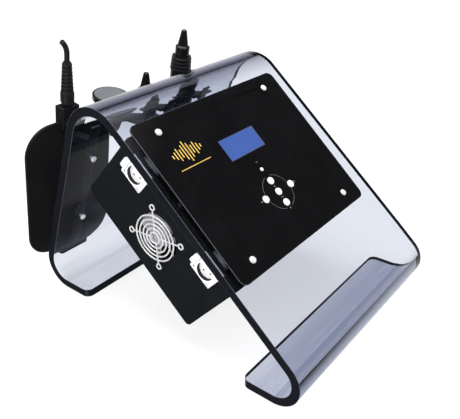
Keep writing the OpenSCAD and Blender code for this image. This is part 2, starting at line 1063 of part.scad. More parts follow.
module plug_block() {
  color([0.09, 0.09, 0.1])
    on_rack(plate_x, plate_y)
      translate([0, 0, plate_top + clear])
        difference() {
          translate([-block_size[0] / 2, -block_size[1] / 2, -8])
            cube([block_size[0], block_size[1], block_size[2] + 8]);
          translate([-block_size[0], -plate_t / 2 - clear, -10])
            cube([2 * block_size[0], plate_t + 0.8 + 3 * clear, 10]);
        }
}

module strain_relief() {
  ribs = 8;
  pitch = 4.4;
  collar_r = 7.9;
  collar_h = 16;
  rib_r = 7.2;
  rib_fall = 0.22;
  color([0.08, 0.08, 0.09])
    on_rack(plate_x, plate_y)
      translate([0, 0, plate_top + block_size[2] + 2 * clear])
        difference() {
          union() {
            cylinder(r1 = 5.6, r2 = collar_r, h = 5);
            translate([0, 0, 5])
              cylinder(r = collar_r, h = collar_h - 5);
            translate([0, 0, collar_h])
              cylinder(r1 = 5.6, r2 = 4.4, h = ribs * pitch);
            for (i = [0 : ribs - 1])
              translate([0, 0, collar_h + pitch * i])
                cylinder(r = rib_r - rib_fall * i, h = pitch * 0.55);
          }
          translate([0, 0, 2])
            cylinder(r = cable_r + clear, h = 60);
        }
}

module cable() {
  rise = 58;
  turn_r = 20;
  color([0.05, 0.05, 0.06])
    on_rack(plate_x, plate_y)
      translate([0, 0, plate_top + block_size[2] + 2.2]) {
        cylinder(r = cable_r, h = rise);
        translate([-turn_r, 0, rise])
          rotate([90, 0, 0])
            rotate_extrude(angle = 48)
              translate([turn_r, 0])
                circle(r = cable_r);
      }
}

// Disc applicator
module disc_head() {
  color([0.07, 0.07, 0.08])
    on_rack(disc_x, disc_y)
      translate([0, 0, -disc_drop - disc_rim_h])
        difference() {
          union() {
            cylinder(r = disc_r, h = disc_rim_h);
            translate([0, 0, -disc_cone_h])
              cylinder(r1 = disc_handle_r - 1, r2 = disc_r - 4, h = disc_cone_h);
          }
          translate([0, 0, disc_rim_h - 2])
            cylinder(r = disc_r - 2.5, h = 4);
        }
}

module disc_face() {
  color([0.5, 0.52, 0.54])
    on_rack(disc_x, disc_y)
      translate([0, 0, -disc_drop - 2 + clear])
        cylinder(r = disc_r - 2.5 - clear, h = 2);
}

module disc_handle() {
  color([0.08, 0.08, 0.09])
    on_rack(disc_x, disc_y)
      translate([0, 0, -disc_drop - disc_rim_h - disc_cone_h - clear - disc_handle_len]) {
        cylinder(r1 = 6, r2 = disc_handle_r, h = 8);
        translate([0, 0, 8])
          cylinder(r = disc_handle_r, h = disc_handle_len - 11);
        translate([0, 0, disc_handle_len - 3])
          cylinder(r1 = disc_handle_r, r2 = disc_handle_r - 1, h = 3);
      }
}

// Handpieces, tip up; z is 0 at the tip's end
module nose(tip) {
  small = 3.7;
  cylinder_top = nose_len - small;
  color([0.09, 0.09, 0.1])
    translate([0, 0, tip - nose_len]) {
      cylinder(r1 = 7.1, r2 = small, h = cylinder_top);
      translate([0, 0, cylinder_top])
        intersection() {
          sphere(r = small);
          cylinder(r = small, h = small);
        }
      translate([0, 0, -collar_len])
        cylinder(r = 9.4, h = collar_len - 2);
      translate([0, 0, -2])
        cylinder(r1 = 9.4, r2 = 7.1, h = 2);
    }
}

module small_nose() {
  on_rack(small_x)
    nose(small_tip);
}

module small_body() {
  top = small_tip - nose_len - collar_len - clear;
  color([0.09, 0.09, 0.1])
    on_rack(small_x)
      translate([0, 0, top - small_len]) {
        cylinder(r1 = 5, r2 = small_r, h = 10);
        translate([0, 0, 10])
          cylinder(r = small_r, h = small_len - 12);
        translate([0, 0, small_len - 2])
          cylinder(r1 = small_r, r2 = 9, h = 2);
      }
}

large_top = large_tip - nose_len - collar_len;

module large_nose() {
  on_rack(large_x)
    nose(large_tip);
}

module large_ring() {
  pitch = ring_len / 4;
  color([0.08, 0.08, 0.09])
    on_rack(large_x)
      translate([0, 0, large_top - clear - ring_len])
        for (i = [0 : 3]) {
          translate([0, 0, pitch * i])
            cylinder(r = 14.2 - 0.3 * i, h = pitch * 0.62);
          translate([0, 0, pitch * i])
            cylinder(r = 12.9, h = pitch);
        }
}

module large_body() {
  color([0.09, 0.09, 0.1])
    on_rack(large_x)
      translate([0, 0, large_top - ring_len - 2 * clear - large_len])
        cylinder(r = large_r, h = large_len);
}

module large_head() {
  color([0.8, 0.81, 0.83])
    on_rack(large_x)
      translate([0, 0, large_top - ring_len - 3 * clear - large_len]) {
        translate([0, 0, -6])
          cylinder(r1 = head_rim_r, r2 = large_r, h = 6);
        translate([0, 0, -10])
          cylinder(r = head_rim_r, h = 4);
      }
}

acrylic_stand();
front_panel();
panel_screws();
lcd_window();
lcd_module();
display_board();
board_spacers();
tact_switches();
led_indicator();
button(key_places()[0]);  // button_up
button(key_places()[1]);  // button_down
button(key_places()[2]);  // button_left
button(key_places()[3]);  // button_right
button(key_places()[4]);  // button_ok
box_body();
box_end_left();
box_end_right();
clinch_nuts();
fan_guard();
fan_frame();
fan_rotor();
fan_screws();
socket_shell(socket_up);  // socket_upper_shell
socket_insert(socket_up);  // socket_upper_insert
socket_latch(socket_up);  // socket_upper_latch
socket_shell(-socket_low);  // socket_lower_shell
socket_insert(-socket_low);  // socket_lower_insert
socket_latch(-socket_low);  // socket_lower_latch
m3_screws();
generator_board();
board_parts();
board_posts();
transformer_core();
transformer_coil();
heat_sink();
inlet_body();
inlet_pins();
switch_body();
switch_rocker();
fuse_holder();
fuse_cap();
holder_plate();
holder_disc();
holder_small();
holder_large();
holder_screws();
plate_shell();
plate_contact();
plug_block();
strain_relief();
cable();
disc_head();
disc_face();
disc_handle();
small_nose();
small_body();
large_nose();
large_ring();
large_body();
large_head();
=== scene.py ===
import math

import bmesh
import bpy
from mathutils import Matrix, Vector


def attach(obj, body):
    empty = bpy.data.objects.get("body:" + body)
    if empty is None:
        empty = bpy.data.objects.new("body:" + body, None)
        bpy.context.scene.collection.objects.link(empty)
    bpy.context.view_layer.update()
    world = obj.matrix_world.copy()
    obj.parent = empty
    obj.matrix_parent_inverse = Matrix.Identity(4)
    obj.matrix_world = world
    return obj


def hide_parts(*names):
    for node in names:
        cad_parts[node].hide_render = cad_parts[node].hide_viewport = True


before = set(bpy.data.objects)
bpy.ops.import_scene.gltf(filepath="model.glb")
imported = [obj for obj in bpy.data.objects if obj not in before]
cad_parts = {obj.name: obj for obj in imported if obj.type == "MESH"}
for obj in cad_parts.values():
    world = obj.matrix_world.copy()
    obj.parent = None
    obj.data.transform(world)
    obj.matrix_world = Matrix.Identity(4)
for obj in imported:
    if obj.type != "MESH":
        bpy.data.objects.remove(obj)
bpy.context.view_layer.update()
scene = bpy.context.scene
MM = 0.001

# ---------------------------------------------------------------- the CAD's dimensions, in millimetres
SHEET_T = 10.0
STAND_H = 256.5
SLOPE = math.radians(40.7)
LEG = math.radians(20.4)
RIDGE_R = 44.7
BEND_R = 30.9
LIP = 38.0
FOOT = 39.5
LEFT = -137.0
RIGHT = 152.5
RIDGE_RIGHT = 144.0
LIP_CORNER = 9.0
PANEL_UP = 186.4
PANEL_T = 1.5
SCREW_X, SCREW_Y = 94.0, 81.0
KEYS_DOWN, KEY_DX, KEY_DY, KEY_R = 37.2, 24.5, 14.8, 4.3
BOX_HALF = 126.6
FAN_Y, FAN_Z, FAN_HOLES = -1.9, -62.4, 50.0
SOCKET_Z = -27.5
SOCKET_YS = {"upper": 59.0, "lower": -62.0}
SOCKET_BORE = 10.4
PIN_CIRCLE, PIN_R, PIN_ANGLES = 5.0, 1.1, (30, 150, 270)
LEAN = math.radians(9.5)
RACK_Z = 230.0
STATIONS = {"plate": -98.5, "disc": -11.5, "small": 23.0, "large": 89.0}
HOLDER_HOLES = (55.0, 149.0)

FRONT_C = Vector((-LIP / 2, BEND_R))
SLOPE_LEN = (STAND_H - RIDGE_R - BEND_R - (BEND_R - RIDGE_R) * math.cos(SLOPE)) / math.sin(SLOPE)
RIDGE_C = Vector(
    (
        FRONT_C.x - (BEND_R - RIDGE_R) * math.sin(SLOPE) + SLOPE_LEN * math.cos(SLOPE),
        STAND_H - RIDGE_R,
    )
)
LEG_LEN = (RIDGE_C.y + (RIDGE_R - BEND_R) * math.sin(LEG) - BEND_R) / math.cos(LEG)
BACK_C = Vector(
    (RIDGE_C.x + (RIDGE_R - BEND_R) * math.cos(LEG) + LEG_LEN * math.sin(LEG), BEND_R)
)
PANEL_C = (
    FRONT_C.x - BEND_R * math.sin(SLOPE) + PANEL_UP * math.cos(SLOPE),
    FRONT_C.y + BEND_R * math.cos(SLOPE) + PANEL_UP * math.sin(SLOPE),
)
RACK_BACK, PLATE_BACK, DISC_BACK = 193.0, 5.0, 27.0
RACK_Y = RACK_BACK + PANEL_C[0]
PLATE_Y = RACK_Y + PLATE_BACK
DISC_Y = RACK_Y + DISC_BACK
DISC_DROP = 15.0
CUTOUT_HALF, CUTOUT_DOWN, CUTOUT_UP = 48.0, 66.0, 56.0


def frame_at(x, y, z, *turns):
    """Matrix, in metres, of a place given in millimetres with turns (axis, angle) applied in order."""
    m = Matrix.Translation(Vector((x, y, z)) * MM)
    for axis, angle in turns:
        m = m @ Matrix.Rotation(angle, 4, axis)
    return m


ON_SLOPE = frame_at(0, PANEL_C[0], PANEL_C[1], ("X", SLOPE))
ON_LEG = frame_at(
    0,
    RIDGE_C.x + RIDGE_R * math.cos(LEG),
    RIDGE_C.y + RIDGE_R * math.sin(LEG),
    ("X", LEG),
)


def shift(m, x, y, z):
    return m @ Matrix.Translation(Vector((x, y, z)) * MM)


def on_left_end(y, z):
    return shift(ON_SLOPE, -BOX_HALF, y, z) @ Matrix.Rotation(-math.pi / 2, 4, "Y")


def on_rack(x, y=None):
    return frame_at(x, RACK_Y if y is None else y, RACK_Z, ("X", LEAN))


# ---------------------------------------------------------------- materials
# Numbers of a colour mix node's two inputs and of its output
MIX_A, MIX_B, MIX_OUT = 6, 7, 2


class Mat:
    """A material under construction: a Principled shader with a few procedural layers."""

    def __init__(self, name, base, rough=0.4, metal=0.0, ior=1.5, spec=0.5):
        self.m = bpy.data.materials.new(name)
        self.m.use_nodes = True
        self.t = self.m.node_tree
        self.b = self.t.nodes["Principled BSDF"]
        self.out = self.t.nodes["Material Output"]
        self.b.inputs["Base Color"].default_value = (*base, 1)
        self.b.inputs["Roughness"].default_value = rough
        self.b.inputs["Metallic"].default_value = metal
        self.b.inputs["IOR"].default_value = ior
        self.b.inputs["Specular IOR Level"].default_value = spec
        self.base = base
        self.coords = self.node("ShaderNodeTexCoord")

    def node(self, kind, **values):
        n = self.t.nodes.new(kind)
        for k, v in values.items():
            if hasattr(n, k):
                setattr(n, k, v)
            else:
                n.inputs[k.replace("_", " ")].default_value = v
        return n

    def link(self, a, b):
        self.t.links.new(a, b)

    def noise(self, scale, detail=4, stretch=(1, 1, 1)):
        m = self.node("ShaderNodeMapping")
        m.inputs["Scale"].default_value = stretch
        self.link(self.coords.outputs["Object"], m.inputs["Vector"])
        n = self.node("ShaderNodeTexNoise")
        n.inputs["Scale"].default_value = scale
        n.inputs["Detail"].default_value = detail
        n.inputs["Roughness"].default_value = 0.6
        self.link(m.outputs["Vector"], n.inputs["Vector"])
        return n.outputs["Fac"]

    def ramp(self, socket, lo, hi, a=0.35, b=0.65):
        r = self.node("ShaderNodeMapRange")
        r.inputs["From Min"].default_value = a
        r.inputs["From Max"].default_value = b
        r.inputs["To Min"].default_value = lo
        r.inputs["To Max"].default_value = hi
        self.link(socket, r.inputs["Value"])
        return r.outputs["Result"]

    def tone(self, socket, amount):
        """The base colour, lightened and darkened by the pattern."""
        mix = self.node("ShaderNodeMix", data_type="RGBA")
        dark = [max(0.0, c * (1 - amount)) for c in self.base]
        light = [min(1.0, c * (1 + amount) + amount * 0.01) for c in self.base]
        mix.inputs[MIX_A].default_value = (*dark, 1)
        mix.inputs[MIX_B].default_value = (*light, 1)
        self.link(socket, mix.inputs[0])
        self.link(mix.outputs[MIX_OUT], self.b.inputs["Base Color"])
        return self

    def roughen(self, socket, lo, hi):
        self.link(self.ramp(socket, lo, hi), self.b.inputs["Roughness"])
        return self

    def bump(self, socket, strength=0.1, distance=0.0002):
        n = self.node("ShaderNodeBump")
        n.inputs["Strength"].default_value = strength
        n.inputs["Distance"].default_value = distance
        self.link(socket, n.inputs["Height"])
        self.link(n.outputs["Normal"], self.b.inputs["Normal"])
        return self


def plastic(name, base, rough, grain=900, bump=0.08, tone=0.08, spec=0.5):
    """A moulded or coated surface: mottled in tone and shine, with a fine grain."""
    m = Mat(name, base, rough, spec=spec)
    fine = m.noise(grain)
    wide = m.noise(22, detail=5)
    m.tone(wide, tone)
    m.roughen(wide, rough * 0.8, min(1, rough * 1.25))
    m.bump(fine, bump)
    return m.m


def metal(name, base, rough, stretch=(1, 1, 40), part=1.0):
    """A brushed or drawn surface; part is how much of it is bare metal."""
    m = Mat(name, base, rough, metal=part)
    streak = m.noise(60, stretch=stretch)
    m.tone(streak, 0.06)
    m.roughen(streak, rough * 0.7, rough * 1.5)
    m.bump(streak, 0.05, 0.00005)
    return m.m


def mirror_ray(m):
    """1 for a ray that has bounced off something shiny on its way, 0 for any other."""
    path = m.node("ShaderNodeLightPath")
    bounced = m.ramp(path.outputs["Glossy Depth"], 0.0, 1.0, 0.4, 0.6)
    direct = m.ramp(path.outputs["Is Diffuse Ray"], 1.0, 0.0, 0.0, 1.0)
    both = m.node("ShaderNodeMath", operation="MULTIPLY")
    m.link(bounced, both.inputs[0])
    m.link(direct, both.inputs[1])
    return path, both.outputs[0]


# Where painted shade darkens the sheet in the lip and round the ridge, in metres, and the painted shade's
# colours round the ridge
LIP_HEIGHTS = (0.010, 0.022)
LIP_DEPTHS = (0.0, 0.03)
CROWN_HEIGHTS = (0.236, 0.250)
CROWN_DEPTHS = (0.205, 0.235)
CROWN_SHADE_COLOUR = (0.66, 0.67, 0.73)
REAR_SHADE_COLOUR = (0.54, 0.45, 0.47)


def acrylic(name, depth_colour, density, lip_shade_colour):
    """Clear smoky sheet: it bends light for the eye, lets the lamps through and tints by depth; painted shade
    darkens it by place, in the lip on the floor and round the ridge.
    """
    m = Mat(name, lip_shade_colour, 0.01, ior=1.49)
    wide = m.noise(14, detail=3)
    m.roughen(wide, 0.0, 0.02)
    m.b.inputs["Transmission Weight"].default_value = 1.0
    place = m.node("ShaderNodeSeparateXYZ")
    m.link(m.coords.outputs["Object"], place.inputs[0])
    # Painted shade: the lip, where it lies on the floor, is darkened towards the last colour given.
    height = m.ramp(place.outputs["Z"], 1.0, 0.0, *LIP_HEIGHTS)
    front = m.ramp(place.outputs["Y"], 1.0, 0.0, *LIP_DEPTHS)
    lip_shade = m.node("ShaderNodeMath", operation="MULTIPLY")
    m.link(height, lip_shade.inputs[0])
    m.link(front, lip_shade.inputs[1])
    # Painted shade round the ridge, pinkish towards its rear.
    crown_shade = m.ramp(place.outputs["Z"], 0.0, 1.0, *CROWN_HEIGHTS)
    rear_shade = m.node("ShaderNodeMath", operation="MULTIPLY")
    m.link(crown_shade, rear_shade.inputs[0])
    m.link(m.ramp(place.outputs["Y"], 0.0, 1.0, *CROWN_DEPTHS), rear_shade.inputs[1])
    place_shade = None
    for share, colour in ((lip_shade.outputs[0], lip_shade_colour), (crown_shade, CROWN_SHADE_COLOUR), (rear_shade.outputs[0], REAR_SHADE_COLOUR)):
        mix = m.node("ShaderNodeMix", data_type="RGBA")
        mix.inputs[MIX_A].default_value = (1, 1, 1, 1)
        mix.inputs[MIX_B].default_value = (*colour, 1)
        if place_shade is not None:
            m.link(place_shade, mix.inputs[MIX_A])
        m.link(share, mix.inputs[0])
        place_shade = mix.outputs[MIX_OUT]
    m.link(place_shade, m.b.inputs["Base Color"])
    path = m.node("ShaderNodeLightPath")
    either = m.node("ShaderNodeMath", operation="MAXIMUM")
    m.link(path.outputs["Is Shadow Ray"], either.inputs[0])
    m.link(path.outputs["Is Diffuse Ray"], either.inputs[1])
    clear = m.node("ShaderNodeBsdfTransparent")
    show = m.node("ShaderNodeMixShader")
    m.link(either.outputs[0], show.inputs[0])
    m.link(m.b.outputs[0], show.inputs[1])
    m.link(clear.outputs[0], show.inputs[2])
    m.link(show.outputs[0], m.out.inputs["Surface"])
    depth = m.node("ShaderNodeVolumeAbsorption")
    depth.inputs["Color"].default_value = (*depth_colour, 1)
    depth.inputs["Density"].default_value = density
    m.link(depth.outputs[0], m.out.inputs["Volume"])
    return m.m


# The last colour is the painted shade of the lip where it lies on the floor.
ACRYLIC = acrylic("acrylic_face", (0.20, 0.28, 0.50), 36.0, (0.59, 0.61, 0.70))
# The sheet's cut edges are opaque near-black: painted shade for their dark look through the sheet.
ACRYLIC_EDGE_SHADE = plastic("acrylic_edge_shade", (0.006, 0.007, 0.010), 0.16, grain=300, bump=0.03, tone=0.3, spec=0.3)
# The rounded borders of the sheet's edges are lighter: a painted highlight line.
ACRYLIC_BEVEL_HIGHLIGHT = plastic("acrylic_bevel_highlight", (0.09, 0.10, 0.12), 0.12, grain=300, bump=0.02, tone=0.2, spec=0.6)
PANEL = plastic("panel_gloss", (0.003, 0.003, 0.0035), 0.07, grain=500, bump=0.004, tone=0.3, spec=0.2)
# The panel's rounded edges are lighter grey: a painted highlight line.
PANEL_EDGE_HIGHLIGHT = plastic("panel_edge_highlight", (0.10, 0.10, 0.11), 0.15, grain=500, bump=0.02)
BOX = plastic("box_black", (0.007, 0.0085, 0.010), 0.42, grain=1500, bump=0.12, tone=0.2, spec=0.1)
CHROME = metal("guard_chrome", (0.97, 0.97, 0.98), 0.22, part=0.45)
SCREW = metal("screw_metal", (0.95, 0.95, 0.96), 0.25, part=0.45)
STEEL = metal("contact_steel", (0.75, 0.76, 0.78), 0.25, stretch=(30, 1, 1))
ROTOR = plastic("fan_grey", (0.42, 0.40, 0.45), 0.3, grain=700)
SOCKET = metal("socket_nickel", (0.98, 0.98, 0.99), 0.3, part=0.1)
WHITE = plastic("button_white", (0.9, 0.9, 0.88), 0.3, grain=700, bump=0.03, tone=0.03)
BLACK_SCREW = metal("fan_screw_black", (0.05, 0.05, 0.055), 0.3)
INSERT = plastic("insert_plastic", (0.86, 0.86, 0.87), 0.35)
DARK = plastic("switch_plastic", (0.012, 0.012, 0.013), 0.4, spec=0.3)
GREEN = plastic("board_green", (0.02, 0.12, 0.06), 0.3, grain=250, tone=0.25)
NYLON = plastic("nylon", (0.8, 0.79, 0.72), 0.5)
IRON = metal("core_steel", (0.28, 0.28, 0.3), 0.5, stretch=(1, 60, 1))
COPPER = metal("coil_copper", (0.72, 0.36, 0.18), 0.35, stretch=(1, 1, 90))
ALUMINIUM = metal("aluminium", (0.78, 0.79, 0.8), 0.3)
BRASS = metal("pin_brass", (0.82, 0.7, 0.42), 0.2)
RED = plastic("rocker_red", (0.5, 0.03, 0.02), 0.22)
HOLDER = plastic("holder_black", (0.010, 0.011, 0.014), 0.35, grain=900, spec=0.35)
GLOSS = plastic("applicator_black", (0.006, 0.006, 0.0065), 0.18, grain=500, bump=0.02, tone=0.3, spec=0.5)
MATT = plastic("plate_black", (0.007, 0.007, 0.0075), 0.4, grain=900, bump=0.05, tone=0.2, spec=0.15)
RUBBER = plastic("cable_rubber", (0.010, 0.010, 0.011), 0.42, grain=1200, bump=0.15, spec=0.35)
DISC_GREY = plastic("disc_grey", (0.12, 0.125, 0.135), 0.4, grain=600, spec=0.1)
LED = plastic("led_lens", (0.95, 0.95, 0.93), 0.15)


def display():
    """Lit blue display with faint rows of cells."""
    m = Mat("display_blue", (0.03, 0.06, 0.20), 0.12)
    wide = m.noise(30)
    m.tone(wide, 0.08)
    rows = m.node("ShaderNodeTexWave", wave_type="BANDS", bands_direction="X")
    rows.inputs["Scale"].default_value = 55
    m.link(m.coords.outputs["Object"], rows.inputs["Vector"])
    glow = m.ramp(rows.outputs["Fac"], 0.36, 0.42, 0.0, 1.0)
    m.link(glow, m.b.inputs["Emission Strength"])
    m.b.inputs["Emission Color"].default_value = (0.056, 0.108, 0.34, 1)
    m.roughen(wide, 0.08, 0.16)
    return m.m


DISPLAY = display()


def printed(name, color, rough=0.45):
    """Printed ink, slightly uneven."""
    m = Mat(name, color, rough)
    n = m.noise(1400)
    m.tone(n, 0.12)
    m.roughen(n, rough * 0.8, rough * 1.2)
    return m.m


PRINT_GREY = printed("print_grey", (0.11, 0.11, 0.12))
PRINT_GOLD = printed("print_gold", (0.62, 0.42, 0.09), 0.3)


# ---------------------------------------------------------------- mesh helpers
def finish_mesh(name, bm, mats, body, smooth=38, m=None):
    mesh = bpy.data.meshes.new(name)
    bmesh.ops.remove_doubles(bm, verts=bm.verts, dist=1e-7)
    bmesh.ops.recalc_face_normals(bm, faces=bm.faces)
    if m is not None:
        bmesh.ops.transform(bm, matrix=m, verts=bm.verts)
    bm.to_mesh(mesh)
    bm.free()
    for mat in mats:
        mesh.materials.append(mat)
    for p in mesh.polygons:
        p.use_smooth = True
    mesh.set_sharp_from_angle(angle=math.radians(smooth))
    ob = bpy.data.objects.new(name, mesh)
    scene.collection.objects.link(ob)
    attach(ob, body)
    return ob


def bevel(ob, width, segments=3, angle=40, mat=-1):
    b = ob.modifiers.new("edge_round", "BEVEL")
    b.width = width * MM
    b.material = mat
    b.segments = segments
    b.limit_method = "ANGLE"
    b.angle_limit = math.radians(angle)
    b.harden_normals = True
    return ob


def fillet(points, closed=False, steps=5):
    """points are (x, y) or (x, y, radius); corners with a radius become arcs."""
    out = []
    n = len(points)
    for i, p in enumerate(points):
        r = p[2] if len(p) > 2 else 0
        here = Vector(p[:2])
        if r <= 0 or (not closed and i in (0, n - 1)):
            out.append(here)
            continue
        a = (Vector(points[i - 1][:2]) - here).normalized()
        b = (Vector(points[(i + 1) % n][:2]) - here).normalized()
        half = a.angle(b) / 2
        reach = r / math.tan(half)
        centre = here + (a + b).normalized() * (r / math.sin(half))
        start = here + a * reach - centre
        end = here + b * reach - centre
        turn = start.angle_signed(end)
        for k in range(steps + 1):
            ang = -turn * k / steps
            c, s = math.cos(ang), math.sin(ang)
            out.append(centre + Vector((start.x * c - start.y * s, start.x * s + start.y * c)))
    return out


def lathe(name, rings, mats, body, m, segments=48):
    """Turned piece: rings are (radius, height) in millimetres, from one end to the other."""
    bm = bmesh.new()
    loops = []
    for r, z in rings:
        if r < 1e-6:
            loops.append([bm.verts.new((0, 0, z * MM))])
            continue
        loops.append(
            [
                bm.verts.new(
                    (
                        r * MM * math.cos(math.tau * i / segments),
                        r * MM * math.sin(math.tau * i / segments),
                        z * MM,
                    )
                )
                for i in range(segments)
            ]
        )
    for k in range(len(loops) - 1):
        a, b = loops[k], loops[k + 1]
        for i in range(segments):
            j = (i + 1) % segments
            if len(a) == 1 and len(b) == 1:
                continue
            if len(a) == 1:
                bm.faces.new((a[0], b[j], b[i]))
            elif len(b) == 1:
                bm.faces.new((a[i], a[j], b[0]))
            else:
                bm.faces.new((a[i], a[j], b[j], b[i]))
    for loop in (loops[0], loops[-1]):
        if len(loop) > 1:
            bm.faces.new(loop)
    return finish_mesh(name, bm, mats, body, m=m)


def slab(name, outline, z0, z1, mats, body, m, edge=0.4):
    """A flat piece: outline in millimetres, from height z0 to z1."""
    bm = bmesh.new()
    low = [bm.verts.new((p[0] * MM, p[1] * MM, z0 * MM)) for p in outline]
    high = [bm.verts.new((p[0] * MM, p[1] * MM, z1 * MM)) for p in outline]
    bm.faces.new(low)
    bm.faces.new(high)
    n = len(outline)
    for i in range(n):
        j = (i + 1) % n
        bm.faces.new((low[i], low[j], high[j], high[i]))
    ob = finish_mesh(name, bm, mats, body, m=m)
    bevel(ob, edge, 2, 50)
    return ob


def rect(w, h, r, cx=0, cy=0, steps=8):
    pts = [(w / 2, -h / 2, r), (w / 2, h / 2, r), (-w / 2, h / 2, r), (-w / 2, -h / 2, r)]
    return [Vector((p.x + cx, p.y + cy)) for p in fillet(pts, closed=True, steps=steps)]


def stand_in(ob, node):
    """The piece takes the place of a CAD node, which is hidden."""
    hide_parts(node)
    return ob


def turned(name, node, profile, mat, body, m, segments=56, steps=5):
    """A turned piece in place of a CAD node; corners of its profile may carry radii."""
    rings = [(p.x, p.y) for p in fillet(profile, steps=steps)]
    return stand_in(lathe(name, rings, [mat], body, m, segments), node)


def tube(name, path, radius, mats, body, m, segments=20):
    """A round bar along points in millimetres."""
    pts = [Vector(p) * MM for p in path]
    bm = bmesh.new()
    loops = []
    up = Vector((0, 1, 0))
    for i, p in enumerate(pts):
        d = (pts[min(i + 1, len(pts) - 1)] - pts[max(i - 1, 0)]).normalized()
        side = up.cross(d).normalized()
        other = d.cross(side).normalized()
        r = radius * MM
        loops.append(
            [
                bm.verts.new(
                    p
                    + side * (r * math.cos(math.tau * k / segments))
                    + other * (r * math.sin(math.tau * k / segments))
                )
                for k in range(segments)
            ]
        )
    for a, b in zip(loops, loops[1:]):
        for i in range(segments):
            j = (i + 1) % segments
            bm.faces.new((a[i], a[j], b[j], b[i]))
    bm.faces.new(loops[0])
    bm.faces.new(loops[-1])
    return finish_mesh(name, bm, mats, body, 50, m)


def dress(node, mat, edge=0.0, edge_highlight=None):
    """A CAD node keeps its mesh and gets its material, and softened edges where they show; a second material,
    if given, paints a highlight on the softened edges.
    """
    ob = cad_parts[node]
    ob.data.materials.clear()
    ob.data.materials.append(mat)
    if edge_highlight:
        ob.data.materials.append(edge_highlight)
    if edge:
        w = ob.modifiers.new("weld", "WELD")
        w.merge_threshold = 1e-6
        b = ob.modifiers.new("edge_round", "BEVEL")
        b.width = edge * MM
        b.segments = 2
        b.limit_method = "ANGLE"
        b.angle_limit = math.radians(40)
        b.use_clamp_overlap = False
        b.material = 1 if edge_highlight else -1
        ob.modifiers.new("shade", "WEIGHTED_NORMAL")
    return ob


def shade_bore(node, mat, m, radius):
    """A socket piece: walls of its bore and holes, all nearer the axis than radius, are painted black as the
    shade in the recess.
    """
    ob = dress(node, mat)
    ob.data.materials.append(DARK)
    back = m.inverted()
    turn = back.to_3x3()
    for p in ob.data.polygons:
        at = back @ (ob.matrix_world @ p.center)
        out = (turn @ (ob.matrix_world.to_3x3() @ p.normal)).normalized()
        if abs(out.z) < 0.5 and math.hypot(at.x, at.y) < radius * MM:
            p.material_index = 1
    return ob


def socket_face(s, m):
    """The white plastic face in a socket, with a moulded groove and three pin holes painted on it as flat
    dark discs of shade.
    """
    face = -1.3
    rings = [
        (0, -20),
        (SOCKET_BORE - 0.1, -20),
        (SOCKET_BORE - 0.1, face, 0.3),
        (9.3, face, 0.2),
        (9.1, face - 1.0),
        (8.6, face - 1.0),
        (8.4, face, 0.2),
        (0, face),
    ]
    turned(f"socket_{s}_face", f"socket_{s}_insert", rings, INSERT, "unit", m, steps=3)
    pins = [
        [
            (PIN_CIRCLE * math.cos(t) + PIN_R * math.cos(a), PIN_CIRCLE * math.sin(t) + PIN_R * math.sin(a))
            for a in (math.tau * k / 20 for k in range(20))
        ]
        for t in (math.radians(d) for d in PIN_ANGLES)
    ]
    # The pin holes are flat dark discs: painted shade.
    ob = flat_marks(f"socket_{s}_holes", pins, face, DARK, m)


# ---------------------------------------------------------------- the stand's bent sheet
def stand_stations():
    """(point on the outside face, outward normal) in side view, from the lip's end to the foot's end."""
    rows = []

    def straight(p, q, n, count):
        for k in range(count + 1):
            rows.append((p.lerp(q, k / count), n))

    def arc(c, r, a0, a1, count):
        for k in range(1, count):
            a = math.radians(a0 + (a1 - a0) * k / count)
            n = Vector((math.cos(a), math.sin(a)))
            rows.append((c + n * r, n))

    top = 90 + math.degrees(SLOPE)
    leg = math.degrees(LEG)
    slope_n = Vector((-math.sin(SLOPE), math.cos(SLOPE)))
    leg_n = Vector((math.cos(LEG), math.sin(LEG)))
    down = Vector((0, -1))
    fine = [0, 0.25, 0.6, 1.1, 1.8, 2.7, 3.9, 5.4, 7.1, 9.0]
    lip_end = Vector((LIP / 2, 0))
    for d in fine:
        rows.append((lip_end - Vector((d, 0)), down))
    straight(lip_end - Vector((14, 0)), Vector((FRONT_C.x, 0)), down, 3)
    arc(FRONT_C, BEND_R, 270, top, 52)
    low, high = FRONT_C + slope_n * BEND_R, RIDGE_C + slope_n * RIDGE_R
    marks = [0, PANEL_UP - CUTOUT_DOWN, PANEL_UP + CUTOUT_UP, SLOPE_LEN]
    for d0, d1 in zip(marks, marks[1:]):
        straight(low.lerp(high, d0 / SLOPE_LEN), low.lerp(high, d1 / SLOPE_LEN), slope_n, 8)
    arc(RIDGE_C, RIDGE_R, top, leg, 60)
    straight(RIDGE_C + leg_n * RIDGE_R, BACK_C + leg_n * BEND_R, leg_n, 12)
    arc(BACK_C, BEND_R, leg, -90, 44)
    foot_end = Vector((BACK_C.x - FOOT, 0))
    straight(Vector((BACK_C.x, 0)), foot_end + Vector((14, 0)), down, 3)
    for d in reversed(fine):
        rows.append((foot_end + Vector((d, 0)), down))
    return rows


def right_edge(y):
    """The sheet's right edge, which runs in a little from the lip to the ridge."""
    if y <= FRONT_C.x:
        return RIGHT
    if y >= RIDGE_C.x:
        return RIDGE_RIGHT
    return RIGHT + (RIDGE_RIGHT - RIGHT) * (y - FRONT_C.x) / (RIDGE_C.x - FRONT_C.x)


def corner_inset(d):
    """How far the edge runs in at a distance d from the sheet's end."""
    if d >= LIP_CORNER:
        return 0.0
    return LIP_CORNER - math.sqrt(max(0.0, LIP_CORNER**2 - (LIP_CORNER - d) ** 2))


def in_cutout(p):
    """True from one end of the control box's opening in the slope to the other, ends included."""
    along = (p.x - PANEL_C[0]) * math.cos(SLOPE) + (p.y - PANEL_C[1]) * math.sin(SLOPE)
    off = (p.y - PANEL_C[1]) * math.cos(SLOPE) - (p.x - PANEL_C[0]) * math.sin(SLOPE)
    return abs(off) < 0.01 and -CUTOUT_DOWN - 0.01 < along < CUTOUT_UP + 0.01


# Where the sheet's mesh is divided across its width
SHEET_DIVISIONS = [-115, -92, -70, -CUTOUT_HALF, -24, 0, 24, CUTOUT_HALF, 70, 92, 115]


